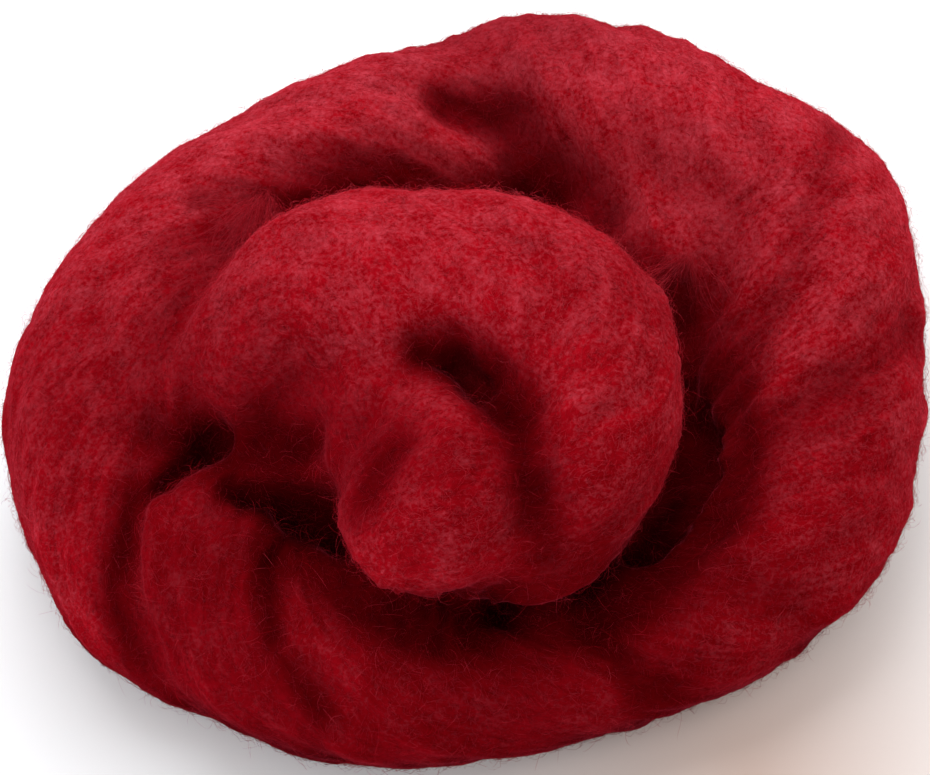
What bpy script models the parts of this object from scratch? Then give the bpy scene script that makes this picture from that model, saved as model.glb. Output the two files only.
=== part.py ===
"""A nest of wool roving: one thick, loose strand of combed wool wound round itself by hand.

The outer turn lies on the table as two overlapping lengths, a left one and a right one that
comes round the front. The inner end climbs on top of them and curls in on itself as a crown.
Each length is a soft oval section carried along a smooth route, with a few long ridges that
turn slowly round it. The lengths are merged into one skin, creased, and pressed flat
where the nest rests. Metres, +Z up, origin in the middle of the flat underside.
"""

from collections import namedtuple

import bpy
import numpy as np

MM = 0.001

# The nest's real size, and the colour of its wool.
NEST_WIDTH = 163 * MM
NEST_DEPTH = 149 * MM
NEST_HEIGHT = 65 * MM
COLOUR = (0.42, 0.012, 0.022, 1.0)

# The strand: bundles of wool side by side round it, how far they bulge, and their slow twist.
BUNDLES = 5
BUNDLE_RELIEF = 0.08
BUNDLE_UNEVENNESS = 0.35
UNEVENNESS_REACH = 40 * MM
TWIST_PITCH = 300 * MM
END_REACH = 12 * MM
STATION_STEP = 2.5 * MM
POINTS_AROUND = 48

# The skin that the lengths share.
SKIN_GRID = 2.0 * MM
SKIN_TRIANGLES = 9600
SKIN_SMOOTHING = 12
CREASE_SMOOTHING = 2
CREASED_SLOPE = 3
CREASE_HEIGHT = 10 * MM


# Middle of the strand, its full width and height there, and the turn of its oval (degrees).
Section = namedtuple("Section", "x y z width height turn")
# A crease runs straight between two points in plan, at a height, as deep and as wide as given.
Crease = namedtuple("Crease", "x1 y1 x2 y2 height depth width")

# From the front edge up the left and over the back, where it dives under the right strand.
LEFT_STRAND = (
    Section(-35, -58, 9, 14, 18, 0),
    Section(-45, -51, 10, 24, 26, 0),
    Section(-55, -42, 13, 30, 31, 0),
    Section(-62, -27, 15, 34, 36, 0),
    Section(-65, -10, 17, 36, 39, 0),
    Section(-61, 8, 18, 38, 41, 0),
    Section(-49, 26, 19, 40, 43, 0),
    Section(-34, 37, 20, 40, 44, 0),
    Section(-17, 47, 20, 43, 46, 0),
    Section(1, 53, 19, 41, 42, 0),
    Section(20, 49, 14, 32, 32, 0),
)
# From behind the crown round the right and the front, and in under the crown's left.
RIGHT_STRAND = (
    Section(-6, 70, 19, 22, 30, 0),
    Section(15, 57, 23, 38, 44, 0),
    Section(34, 46, 24, 42, 48, 0),
    Section(44, 39, 23, 42, 47, 0),
    Section(55, 31, 22, 46, 46, 0),
    Section(59, 11, 21, 43, 45, 0),
    Section(58, -9, 18, 43, 41, 0),
    Section(52, -28, 16, 40, 38, 0),
    Section(38, -43, 14, 34, 34, 0),
    Section(18, -52, 13, 32, 32, 0),
    Section(-1, -57, 13, 32, 32, 0),
    Section(-21, -56, 15, 38, 33, 0),
    Section(-38, -46, 15, 41, 35, 0),
    Section(-46, -33, 17, 38, 37, 0),
    Section(-44, -21, 16, 30, 33, 0),
)
# Up from the left, round the back and the right, and in to the middle through the front.
CROWN = (
    Section(-35, -12, 22, 24, 26, 0),
    Section(-35, -8, 34, 28, 34, 0),
    Section(-25, -2, 42, 38, 36, 0),
    Section(-9, -4, 45, 42, 36, 0),
    Section(6, -8, 46, 44, 36, 0),
    Section(15, -16, 45, 40, 36, 0),
    Section(18, -27, 43, 33, 36, 0),
    Section(15, -36, 41, 29, 34, 0),
    Section(10, -41, 35, 29, 32, 0),
    Section(3, -44, 30, 26, 28, 0),
    Section(-3, -45, 25, 20, 22, 0),
)
# Where the outer turn slopes down to the crown, behind on the right.
RIGHT_SHOULDER = (
    Section(21, 41, 18, 34, 34, 0),
    Section(33, 31, 21, 44, 36, 0),
    Section(41, 23, 21, 46, 36, 0),
    Section(48, 14, 17, 40, 32, 0),
)
# Where the crown leans on the outer turn, at the left.
LEFT_SHOULDER = (
    Section(-35, 24, 24, 26, 30, 0),
    Section(-44, 16, 25, 36, 34, 0),
    Section(-50, 4, 25, 42, 35, 0),
    Section(-50, -6, 24, 40, 34, 0),
    Section(-47, -13, 24, 34, 32, 0),
    Section(-44, -18, 23, 24, 28, 0),
)
# The lower lobe of the crown, in front of the valley.
LOBE = (
    Section(3, -22, 35, 24, 28, 0),
    Section(0, -31, 39, 32, 34, 0),
    Section(-3, -40, 41, 33, 36, 0),
    Section(-7, -46, 37, 34, 36, 0),
    Section(-7, -51, 30, 22, 26, 0),
)
# The rounded left part of the crown, where the strand comes up from below.
LEFT_MASS = (
    Section(-45, -19, 18, 26, 26, 0),
    Section(-40, -19, 20, 32, 28, 0),
    Section(-33, -18, 23, 38, 31, 0),
    Section(-25, -18, 27, 42, 34, 0),
    Section(-15, -16, 33, 40, 34, 0),
    Section(-5, -16, 39, 28, 32, 0),
)
# Wool inside the crown's curl.
CROWN_HEART = (
    Section(-32, -11, 22, 30, 32, 0),
    Section(-21, -12, 27, 44, 36, 0),
    Section(-8, -19, 34, 46, 44, 0),
    Section(6, -20, 37, 46, 46, 0),
    Section(15, -23, 36, 34, 38, 0),
)
# Hidden wool that fills the nest under the crown and inside the outer turn.
CORE = (
    Section(-26, -5, 17, 30, 36, 0),
    Section(-10, -5, 18, 56, 40, 0),
    Section(10, -5, 18, 56, 40, 0),
    Section(26, -5, 17, 30, 36, 0),
)
# The hidden inner turn lies inside the outer one, round the foot of the crown, highest behind.
INNER_TURN = tuple(
    Section(22 * np.cos(bearing), -4 + 21 * np.sin(bearing), 13 + 5 * rise, 36, 28 + 12 * rise, 0)
    for bearing in np.radians(np.arange(230, -200, -35))
    for rise in (max(np.sin(bearing), 0),)
)
LENGTHS = (
    LEFT_STRAND,
    RIGHT_STRAND,
    INNER_TURN,
    CORE,
    CROWN_HEART,
    CROWN,
    RIGHT_SHOULDER,
    LEFT_SHOULDER,
    LEFT_MASS,
    LOBE,
)

# The valley and pit where the crown curls in.
CROWN_CREASES = (
    Crease(-8, -22, -4, -24, 60, 5, 3.5),
    Crease(-4, -23, 2, -28, 58, 11, 3.5),
    Crease(2, -28, 8, -36, 54, 3.5, 5),
    Crease(8, -36, 11, -48, 52, 3.5, 5),
    Crease(11, -48, 13, -52, 48, 2, 4),
    Crease(-36, -27, -30, -30, 44, 6, 4),
    Crease(-11, -39, -17, -47, 50, 3, 5),
)
# The folds round the outer turn: left, behind the crown, right and front.
OUTER_CREASES = (
    Crease(-45, -23, -49, -28, 33, 5, 2.6),
    Crease(-49, -28, -53, -33, 31, 5, 2.6),
    Crease(-39, -34, -22, -40, 29, 6, 3),
    Crease(-56, -33, -59, -48, 28, 2.5, 3),
    Crease(-59, -48, -53, -61, 22, 2.5, 3),
    Crease(-34, -45, -32, -60, 27, 2.5, 3),
    Crease(-32, -60, -24, -70, 21, 2.5, 3),
    Crease(-52, 11, -45, 15, 38, 2, 5),
    Crease(-4, 45, 7, 44, 42, 4, 5),
    Crease(7, 44, 13, 36, 42, 4, 5),
    Crease(13, 36, 23, 23, 39, 4, 5),
    Crease(66, 38, 56, 6, 40, 1.5, 4),
    Crease(56, 6, 41, -16, 40, 1.5, 4),
    Crease(78, 2, 64, -13, 30, 2, 5),
    Crease(64, -13, 47, -25, 34, 2, 5),
    Crease(34, -6, 37, -17, 30, 10, 3.2),
    Crease(37, -17, 36, -28, 28, 10, 3.2),
    Crease(36, -28, 29, -40, 26, 10, 3.2),
    Crease(29, -40, 19, -49, 26, 10, 3.2),
    Crease(19, -49, 4, -54, 25, 10, 3.2),
    Crease(39, -14, 42, -25, 38, 5, 7),
    Crease(42, -25, 40, -36, 36, 5, 7),
    Crease(40, -36, 32, -48, 34, 5, 7),
    Crease(32, -48, 21, -55, 32, 5, 7),
    Crease(21, -56, 28, -63, 23, 2.5, 4),
    Crease(28, -63, 36, -63, 18, 2.5, 4),
    Crease(44, -48, 58, -50, 25, 2, 5),
)


def smooth_route(rows):
    """Hermite curve through the rows, with the chord from row to row as its parameter."""
    table = np.array(rows, float)
    table[:, :5] *= MM
    chords = np.linalg.norm(np.diff(table[:, :3], axis=0), axis=1)
    knots = np.concatenate(([0.0], np.cumsum(chords)))
    slopes = np.gradient(table, knots, axis=0)
    stations = np.linspace(0.0, knots[-1], int(knots[-1] / STATION_STEP) + 1)
    span = np.clip(np.searchsorted(knots, stations, side="right") - 1, 0, len(knots) - 2)
    gap = (knots[span + 1] - knots[span])[:, None]
    t = (stations - knots[span])[:, None] / gap
    return stations, (
        (1 + 2 * t) * (1 - t) ** 2 * table[span]
        + t**2 * (3 - 2 * t) * table[span + 1]
        + t * (1 - t) ** 2 * gap * slopes[span]
        - t**2 * (1 - t) * gap * slopes[span + 1]
    )


def unit(vectors):
    return vectors / np.linalg.norm(vectors, axis=-1, keepdims=True)


def rounded_ends(stations, reach):
    """1 along the strand, falling to 0 over the reach at each end as a quarter circle does."""
    to_end = np.minimum(stations, stations[-1] - stations)
    return np.sqrt(np.clip(1 - (1 - np.minimum(to_end / reach, 1)) ** 2, 0, 1))


def add_strand(points, faces, rows):
    """An oval carried along the route. Its radius bulges in bundles, which turn slowly with it."""
    stations, table = smooth_route(rows)
    middle = table[:, :3]
    heading = unit(np.gradient(middle, stations, axis=0))
    across = unit(np.cross(heading, (0.0, 0.0, 1.0)))
    upward = np.cross(across, heading)
    angle = np.linspace(0, 2 * np.pi, POINTS_AROUND, endpoint=False)
    turned = angle[None, :] + np.radians(table[:, 5:6])
    twist = angle[None, :] + stations[:, None] * 2 * np.pi / TWIST_PITCH
    uneven = twist + BUNDLE_UNEVENNESS * np.sin(2 * twist + stations[:, None] / UNEVENNESS_REACH)
    bundles = np.abs(np.cos(BUNDLES / 2 * uneven)) - 2 / np.pi
    swell = (1 + BUNDLE_RELIEF * bundles) * rounded_ends(stations, END_REACH)[:, None]
    wide = np.cos(turned) * table[:, 3:4] / 2 * swell
    high = np.sin(turned) * table[:, 4:5] / 2 * swell
    rings = middle[:, None] + wide[..., None] * across[:, None] + high[..., None] * upward[:, None]
    rings = rings[1:-1]
    start = len(points)
    points.extend(map(tuple, rings.reshape(-1, 3)))
    points.extend((tuple(middle[0]), tuple(middle[-1])))
    grid = start + np.arange(len(rings) * POINTS_AROUND).reshape(len(rings), POINTS_AROUND)
    beside = np.roll(grid, -1, axis=1)
    quads = np.stack((grid[:-1], grid[1:], beside[1:], beside[:-1]), axis=-1).reshape(-1, 4)
    faces.extend(map(tuple, quads.tolist()))
    first_pole = start + grid.size
    faces.extend(zip([first_pole] * POINTS_AROUND, grid[0].tolist(), beside[0].tolist()))
    faces.extend(zip([first_pole + 1] * POINTS_AROUND, beside[-1].tolist(), grid[-1].tolist()))


def evaluated_mesh(thing):
    """The thing's mesh with its modifiers worked out."""
    depsgraph = bpy.context.evaluated_depsgraph_get()
    return bpy.data.meshes.new_from_object(thing.evaluated_get(depsgraph))


def replace_mesh(thing, mesh):
    thing.modifiers.clear()
    thing.data = mesh


def coordinates(mesh, kind="vertices", field="co"):
    items = getattr(mesh, kind)
    values = np.empty(len(items) * 3, np.float32)
    items.foreach_get(field, values)
    return values.reshape(-1, 3).astype(float)


def to_crease(plan, crease):
    """How far each place lies, in plan, from the straight middle of the crease."""
    start = np.array((crease.x1, crease.y1)) * MM
    run = np.array((crease.x2, crease.y2)) * MM - start
    share = np.clip((plan - start) @ run / (run @ run), 0, 1)
    return np.linalg.norm(plan - start - share[:, None] * run, axis=1)


def press_creases(mesh):
    """Each crease sinks the skin near its height along the normal, as a bell curve of the distance."""
    places = coordinates(mesh)
    normals = coordinates(mesh, "vertex_normals", "vector")
    facing_up = np.clip(CREASED_SLOPE * normals[:, 2], 0, 1)
    sunk = np.zeros(len(places))
    for crease in CROWN_CREASES + OUTER_CREASES:
        aside = to_crease(places[:, :2], crease) / (crease.width * MM)
        above = (places[:, 2] - crease.height * MM) / CREASE_HEIGHT
        bell = np.exp(-(aside**2) - above**2)
        sunk = np.maximum(sunk, crease.depth * MM * bell)
    places -= normals * (sunk * facing_up)[:, None]
    mesh.vertices.foreach_set("co", places.astype(np.float32).ravel())
    mesh.update()


def rest_flat(mesh):
    """What hangs below the table is pressed flat onto it, and the nest gets its driving size."""
    places = coordinates(mesh)
    places[:, 2] = np.maximum(places[:, 2], 0.0)
    low, high = places.min(axis=0), places.max(axis=0)
    middle = np.array((*(low + high)[:2] / 2, 0.0))
    places = (places - middle) * np.array((NEST_WIDTH, NEST_DEPTH, NEST_HEIGHT)) / (high - low)
    mesh.vertices.foreach_set("co", places.astype(np.float32).ravel())
    mesh.update()


def wool_material():
    material = bpy.data.materials.new("crimson wool")
    material.use_nodes = True
    shader = material.node_tree.nodes["Principled BSDF"]
    shader.inputs["Base Color"].default_value = COLOUR
    shader.inputs["Roughness"].default_value = 0.95
    shader.inputs["Metallic"].default_value = 0.0
    return material


def merge_skin(thing, softening):
    """Lengths that overlap become one closed skin of even faces, softened."""
    skin = thing.modifiers.new("merge", "REMESH")
    skin.mode = "VOXEL"
    skin.voxel_size = SKIN_GRID
    soften = thing.modifiers.new("soften", "SMOOTH")
    soften.iterations = softening
    replace_mesh(thing, evaluated_mesh(thing))


def make_roving(collection):
    points, faces = [], []
    for rows in LENGTHS:
        add_strand(points, faces, rows)
    mesh = bpy.data.meshes.new("roving")
    mesh.from_pydata(points, [], faces)
    roving = bpy.data.objects.new("roving", mesh)
    collection.objects.link(roving)

    merge_skin(roving, SKIN_SMOOTHING)
    press_creases(roving.data)
    merge_skin(roving, CREASE_SMOOTHING)

    triangles = sum(len(face.vertices) - 2 for face in roving.data.polygons)
    thin = roving.modifiers.new("fewer faces", "DECIMATE")
    thin.ratio = min(1.0, SKIN_TRIANGLES / triangles)
    replace_mesh(roving, evaluated_mesh(roving))
    rest_flat(roving.data)
    roving.data.shade_smooth()
    roving.data.materials.append(wool_material())
    return roving


def main():
    for thing in list(bpy.data.objects):
        bpy.data.objects.remove(thing, do_unlink=True)
    collection = bpy.data.collections.new("wool roving nest")
    bpy.context.scene.collection.children.link(collection)
    make_roving(collection)


main()
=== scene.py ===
"""A nest of crimson wool roving: one loose strand of combed wool, wound round itself by hand.

The skin repeats the rows of the solid at a finer step, is creased and combed into locks, and
carries coats of single fibres: laid along the strand, curled, loose on top, and stray at the
outline. Three small wisps stand out from it.
Metres, +Z up, origin in the middle of the flat underside. Tables are in millimetres.
"""

from collections import namedtuple

import bpy
import numpy as np
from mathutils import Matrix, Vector


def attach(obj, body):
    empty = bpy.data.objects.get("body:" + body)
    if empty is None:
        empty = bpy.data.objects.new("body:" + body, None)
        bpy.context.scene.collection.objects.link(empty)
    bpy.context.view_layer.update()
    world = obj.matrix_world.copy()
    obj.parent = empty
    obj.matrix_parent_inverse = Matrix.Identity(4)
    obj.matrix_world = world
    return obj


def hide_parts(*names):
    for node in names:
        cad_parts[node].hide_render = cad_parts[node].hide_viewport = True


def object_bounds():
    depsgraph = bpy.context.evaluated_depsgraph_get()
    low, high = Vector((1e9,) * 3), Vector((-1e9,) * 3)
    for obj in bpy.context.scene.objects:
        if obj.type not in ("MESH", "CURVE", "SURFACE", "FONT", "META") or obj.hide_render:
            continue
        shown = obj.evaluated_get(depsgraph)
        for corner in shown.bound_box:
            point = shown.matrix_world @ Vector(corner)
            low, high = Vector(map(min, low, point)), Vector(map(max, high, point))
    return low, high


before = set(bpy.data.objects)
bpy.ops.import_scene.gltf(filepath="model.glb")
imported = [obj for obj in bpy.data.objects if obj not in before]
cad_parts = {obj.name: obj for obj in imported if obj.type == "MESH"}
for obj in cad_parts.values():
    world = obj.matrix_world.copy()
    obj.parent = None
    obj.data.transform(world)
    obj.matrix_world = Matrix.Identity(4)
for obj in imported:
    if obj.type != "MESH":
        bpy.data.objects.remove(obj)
cad_low, cad_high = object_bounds()

MM = 0.001

# The camera stands in front of the nest and looks down on it. The picture is 930 by 775.
PICTURE_WIDTH = 930
PIXEL = 0.174 * MM
CAMERA_ELEVATION = np.radians(55)
CAMERA_DISTANCE = 0.5
CAMERA_TARGET = Vector((-0.5, -6.6, 25)) * MM

# The strand: bundles of wool side by side round it, how far they bulge, and their slow twist.
BUNDLES = 5
BUNDLE_RELIEF = 0.08
BUNDLE_UNEVENNESS = 0.35
UNEVENNESS_REACH = 40
TWIST_PITCH = 300
END_REACH = 12
STATION_STEP = 1.5
POINTS_AROUND = 72

# The skin that the lengths share.
MERGE_GRID = 1.2 * MM
MERGE_SMOOTHING = 33
SKIN_GRID = 0.95 * MM
CREASE_SMOOTHING = 9
CREASED_SLOPE = 3
CREASE_HEIGHT = 10 * MM

# Middle of the strand, and its full width and height there.
Section = namedtuple("Section", "x y z width height")
# A crease runs straight between two points in plan, at a height, as deep and as wide as given.
Crease = namedtuple("Crease", "x1 y1 x2 y2 height depth width")

# From the front edge up the left and over the back, where it dives under the right strand.
LEFT_STRAND = (
    Section(-35, -58, 9, 14, 18),
    Section(-45, -51, 10, 24, 26),
    Section(-55, -42, 13, 30, 31),
    Section(-62, -27, 15, 34, 36),
    Section(-65, -10, 17, 36, 39),
    Section(-61, 8, 18, 38, 41),
    Section(-49, 26, 19, 40, 43),
    Section(-34, 37, 20, 40, 44),
    Section(-17, 47, 20, 43, 46),
    Section(1, 53, 19, 41, 42),
    Section(20, 49, 14, 32, 32),
)
# From behind the crown round the right and the front, and in under the crown's left.
RIGHT_STRAND = (
    Section(-6, 70, 19, 22, 30),
    Section(15, 57, 23, 38, 44),
    Section(34, 46, 24, 42, 48),
    Section(44, 39, 23, 42, 47),
    Section(55, 31, 22, 46, 46),
    Section(59, 11, 21, 43, 45),
    Section(58, -9, 18, 43, 41),
    Section(52, -28, 16, 40, 38),
    Section(38, -43, 14, 34, 34),
    Section(18, -52, 13, 32, 32),
    Section(-1, -57, 13, 32, 32),
    Section(-21, -56, 15, 38, 33),
    Section(-38, -46, 15, 41, 35),
    Section(-46, -33, 17, 38, 37),
    Section(-44, -21, 16, 30, 33),
)
# Up from the left, round the back and the right, and in to the middle through the front.
CROWN = (
    Section(-35, -12, 22, 24, 26),
    Section(-35, -8, 34, 28, 34),
    Section(-25, -2, 42, 38, 36),
    Section(-9, -4, 45, 42, 36),
    Section(6, -8, 46, 44, 36),
    Section(15, -16, 45, 40, 36),
    Section(18, -27, 43, 33, 36),
    Section(15, -36, 41, 29, 34),
    Section(10, -41, 35, 29, 32),
    Section(3, -44, 30, 26, 28),
    Section(-3, -45, 25, 20, 22),
)
# Where the outer turn slopes down to the crown, behind on the right.
RIGHT_SHOULDER = (
    Section(21, 41, 18, 34, 34),
    Section(33, 31, 21, 44, 36),
    Section(41, 23, 21, 46, 36),
    Section(48, 14, 17, 40, 32),
)
# Where the crown leans on the outer turn, at the left.
LEFT_SHOULDER = (
    Section(-35, 24, 24, 26, 30),
    Section(-44, 16, 25, 36, 34),
    Section(-50, 4, 25, 42, 35),
    Section(-50, -6, 24, 40, 34),
    Section(-47, -13, 24, 34, 32),
    Section(-44, -18, 23, 24, 28),
)
# The lower lobe of the crown, in front of the valley.
LOBE = (
    Section(3, -22, 35, 24, 28),
    Section(0, -31, 39, 32, 34),
    Section(-3, -40, 41, 33, 36),
    Section(-7, -46, 37, 34, 36),
    Section(-7, -51, 30, 22, 26),
)
# The rounded left part of the crown, where the strand comes up from below.
LEFT_MASS = (
    Section(-45, -19, 18, 26, 26),
    Section(-40, -19, 20, 32, 28),
    Section(-33, -18, 23, 38, 31),
    Section(-25, -18, 27, 42, 34),
    Section(-15, -16, 33, 40, 34),
    Section(-5, -16, 39, 28, 32),
)
# Wool inside the crown's curl.
CROWN_HEART = (
    Section(-32, -11, 22, 30, 32),
    Section(-21, -12, 27, 44, 36),
    Section(-8, -19, 34, 46, 44),
    Section(6, -20, 37, 46, 46),
    Section(15, -23, 36, 34, 38),
)
# Hidden wool that fills the nest under the crown and inside the outer turn.
CORE = (
    Section(-26, -5, 17, 30, 36),
    Section(-10, -5, 18, 56, 40),
    Section(10, -5, 18, 56, 40),
    Section(26, -5, 17, 30, 36),
)
# The hidden inner turn lies inside the outer one, round the foot of the crown, highest behind.
INNER_TURN = tuple(
    Section(22 * np.cos(bearing), -4 + 21 * np.sin(bearing), 13 + 5 * rise, 36, 28 + 12 * rise)
    for bearing in np.radians(np.arange(230, -200, -35))
    for rise in (max(np.sin(bearing), 0),)
)
LENGTHS = (
    LEFT_STRAND,
    RIGHT_STRAND,
    INNER_TURN,
    CORE,
    CROWN_HEART,
    CROWN,
    RIGHT_SHOULDER,
    LEFT_SHOULDER,
    LEFT_MASS,
    LOBE,
)

# The valley and pit where the crown curls in.
CROWN_CREASES = (
    Crease(-8, -22, -4, -24, 60, 5, 3.5),
    Crease(-4, -23, 2, -28, 58, 11, 3.5),
    Crease(2, -28, 8, -36, 54, 3.5, 5),
    Crease(8, -36, 11, -48, 52, 3.5, 5),
    Crease(11, -48, 13, -52, 48, 2, 4),
    Crease(-36, -27, -30, -30, 44, 6, 4),
    Crease(-11, -39, -17, -47, 50, 3, 5),
)
# The folds round the outer turn: left, behind the crown, right and front.
OUTER_CREASES = (
    Crease(-45, -23, -49, -28, 33, 5, 2.6),
    Crease(-49, -28, -53, -33, 31, 5, 2.6),
    Crease(-39, -34, -22, -40, 29, 6, 3),
    Crease(-56, -33, -59, -48, 28, 2.5, 3),
    Crease(-59, -48, -53, -61, 22, 2.5, 3),
    Crease(-34, -45, -32, -60, 27, 2.5, 3),
    Crease(-32, -60, -24, -70, 21, 2.5, 3),
    Crease(-52, 11, -45, 15, 38, 2, 5),
    Crease(-4, 45, 7, 44, 42, 4, 5),
    Crease(7, 44, 13, 36, 42, 4, 5),
    Crease(13, 36, 23, 23, 39, 4, 5),
    Crease(66, 38, 56, 6, 40, 1.5, 4),
    Crease(56, 6, 41, -16, 40, 1.5, 4),
    Crease(78, 2, 64, -13, 30, 2, 5),
    Crease(64, -13, 47, -25, 34, 2, 5),
    Crease(34, -6, 37, -17, 30, 10, 3.2),
    Crease(37, -17, 36, -28, 28, 10, 3.2),
    Crease(36, -28, 29, -40, 26, 10, 3.2),
    Crease(29, -40, 19, -49, 26, 10, 3.2),
    Crease(19, -49, 4, -54, 25, 10, 3.2),
    Crease(21, -56, 28, -63, 23, 2.5, 4),
    Crease(28, -63, 36, -63, 18, 2.5, 4),
    Crease(44, -48, 58, -50, 25, 2, 5),
)

# The valley between the crown and the outer turn, wide and shallow, in front on the right.
VALLEY = (
    Crease(39, -14, 42, -25, 38, 5, 7),
    Crease(42, -25, 40, -36, 36, 5, 7),
    Crease(40, -36, 32, -48, 34, 5, 7),
    Crease(32, -48, 21, -55, 32, 5, 7),
)
FOLDS = CROWN_CREASES + OUTER_CREASES

# Locks of wool in the skin: how long and how wide they run, and how far they stand out.
Locks = namedtuple("Locks", "seed along across relief")
LOCKS = (
    Locks(11, 45, 9.0, 0.40),
    Locks(12, 20, 4.5, 0.22),
    Locks(13, 9, 2.4, 0.10),
)
# Waves in a sum, how their pace varies, and how much of it runs along the locks.
WAVES = 40
WAVE_PACE = (0.6, 1.5)
WAVE_ALONG = 0.8
# What waves and ridges each make up of a lock's relief, and the mean of the ridges.
LOCK_WAVE, LOCK_RIDGE, MEAN_RIDGE = 0.65, 0.35, 0.8
# The fibres lie at a slant across the strand, which is loosely twisted.
SLANT = np.radians(45)
# How soon the comb of one length gives way to the next, as a share of the strand's radius.
COMB_BLEND = 0.07
# How far apart the patterns of two lengths are taken from the noise, so that they differ.
PATTERN_SHIFT = 61.0

# The sky that a place sees: cells of the height map, compass directions and steps to the horizon.
TOP_CELL = 1.2 * MM
TOP_REACH = 110 * MM
COMPASS = 16
HORIZON_STEPS = (3.6, 5.2, 7.5, 11, 16, 23)
# The sky is looked for from points this far off the skin, and this share of each counts.
SKY_STEPS = ((2.5, 0.4), (7.0, 0.6))
# What a direction counts for beside how far the skin faces it, and the least it counts for.
SKY_EVEN, SKY_FACING_LEAST = 0.1, 0.02
# The share of sky at which a place is darkest, and how much more of it makes it brightest.
SKY_DARKEST, SKY_SPAN = 0.18, 0.74
# Light lost for each millimetre that a place lies below the smoothed skin, and its limits.
HOLLOW_SMOOTHING = 90
HOLLOW_SHADE = 0.10
HOLLOW_LIMITS = (0.4, 1.15)
# The light in the deepest shade, and how steeply it falls towards it.
LEAST_LIGHT = 0.27
LIGHT_FALL = 1.7
LIGHT_LIMITS = (0.04, 1.1)
# The light a fold shuts out, how steep it is when it shuts out all of that (its depth over its
# width), and how far from it, as a share of its width.
FOLD_SHADE = 0.94
FULL_STEEPNESS = 1.2
FOLD_SHADE_SPREAD = 0.85
# How many times the light and the shade of the folds are evened out over the skin.
LIGHT_ROUNDS = 30
FOLD_ROUNDS = 4

# Patches that are partly uneven dye and partly painted shade, deeper, or painted light, paler if
# below 0: the middle of each patch, and how far it reaches.
DyeAndShade = namedtuple("DyeAndShade", "x y z reach deeper")
DYE_AND_SHADE_PATCHES = (
    DyeAndShade(-16, -34, 46, 15, 0.48),
    DyeAndShade(-1, -41, 52, 11, 0.30),
    DyeAndShade(-31, -24, 33, 13, 0.35),
    DyeAndShade(-33, -12, 43, 15, 0.30),
    DyeAndShade(-44, -2, 42, 14, 0.10),
    DyeAndShade(20, -40, 36, 13, 0.45),
    DyeAndShade(-46, -47, 29, 17, 0.38),
    DyeAndShade(-32, -63, 20, 14, 0.38),
    DyeAndShade(-16, -69, 17, 16, 0.22),
    DyeAndShade(-50, -59, 14, 13, 0.25),
    DyeAndShade(37, -60, 18, 11, 0.30),
    DyeAndShade(10, -50, 32, 9, 0.40),
    DyeAndShade(7, -66, 22, 20, 0.38),
    DyeAndShade(-68, -14, 26, 24, 0.32),
    DyeAndShade(25, -11, 52, 14, 0.30),
    DyeAndShade(10, 61, 38, 26, 0.28),
    DyeAndShade(61, -25, 30, 15, 0.25),
    DyeAndShade(-1, -25, 44, 9, -1.4),
    DyeAndShade(12, -20, 47, 9, -0.4),
    DyeAndShade(-13, -16, 60, 12, -0.25),
    DyeAndShade(24, 31, 35, 16, -0.7),
    DyeAndShade(1, 38, 37, 10, -0.5),
    DyeAndShade(-1, 29, 36, 10, -0.4),
    DyeAndShade(38, 6, 28, 12, -0.7),
    DyeAndShade(47, -5, 34, 12, -0.4),
    DyeAndShade(46, -20, 28, 10, -0.9),
    DyeAndShade(-16, -52, 22, 12, -0.5),
    DyeAndShade(4, -53, 20, 9, -0.5),
)

# Fibres: points on each, length and thickness, how far they stray from the comb, and how high
# they stand. The last is the share of the light lost at the root that they catch above it.
Coat = namedtuple("Coat", "name seed count points length thickness stray lift catch")
COATS = (
    Coat("laid_fibres_one", 21, 28000, 3, (1.0, 2.8), (0.05, 0.08), 32, (0.02, 0.25), 0.0),
    Coat("laid_fibres_two", 22, 28000, 3, (1.0, 2.8), (0.05, 0.08), 40, (0.05, 0.45), 0.05),
    Coat("curled_fibres", 23, 14500, 4, (1.5, 4.5), (0.035, 0.055), 60, (0.05, 0.7), 0.15),
    Coat("loose_fibres", 24, 9500, 5, (2, 5), (0.03, 0.045), 90, (0.3, 1.5), 0.3),
)
STRAY = Coat("stray_fibres", 25, 5500, 5, (1.5, 6), (0.03, 0.045), 180, (1.0, 4.0), 0.8)

# Fibres are fewer by this share where the skin faces straight down. None has its root below the
# first height, and none dips below the second.
UNDERSIDE_BARE = 0.9
LOWEST_ROOT = 0.6 * MM
LOWEST_FIBRE = 0.1 * MM
# A fibre's three edges, its radius at the ends and what it gains in the middle, as shares.
TUBE_EDGES = (90, 210, 330)
TUBE_END, TUBE_SWELL = 0.55, 0.45
# The edge that every fibre leaves free round its cell of the map, and what it uses.
CELL_MARGIN, CELL_USED = 0.1, 0.8
# Where laid fibres swirl away from the comb: the size of a swirl, its seed and its turn.
SWIRLS = ((14, 5, 14), (5, 6, 9))
# Turns along a fibre, in radians: even for each millimetre, and by chance at each step.
FIBRE_BEND, FIBRE_WAVER = 0.30, 0.30
# How far its ends are sunk into the skin, and by how much its height varies.
FIBRE_SUNK, FIBRE_UNEVEN = 0.08, 0.05
# How a stray fibre leaves the skin, droops at each step, curls aside, and starts aside.
STRAY_RISE, STRAY_DROOP = (0.25, 1.1), (0.1, 0.5)
STRAY_CURL, STRAY_ASIDE = 0.35, 0.2
STRAY_SUNK = 0.2
# The paleness of fibres: its mean and spread. Laid ones also drift, in patches of this size.
LAID_TINT, STRAY_TINT = (0.5, 0.22), (0.6, 0.2)
TINT_DRIFT, TINT_PATCH, TINT_SEED = 0.12, 9, 7

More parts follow.
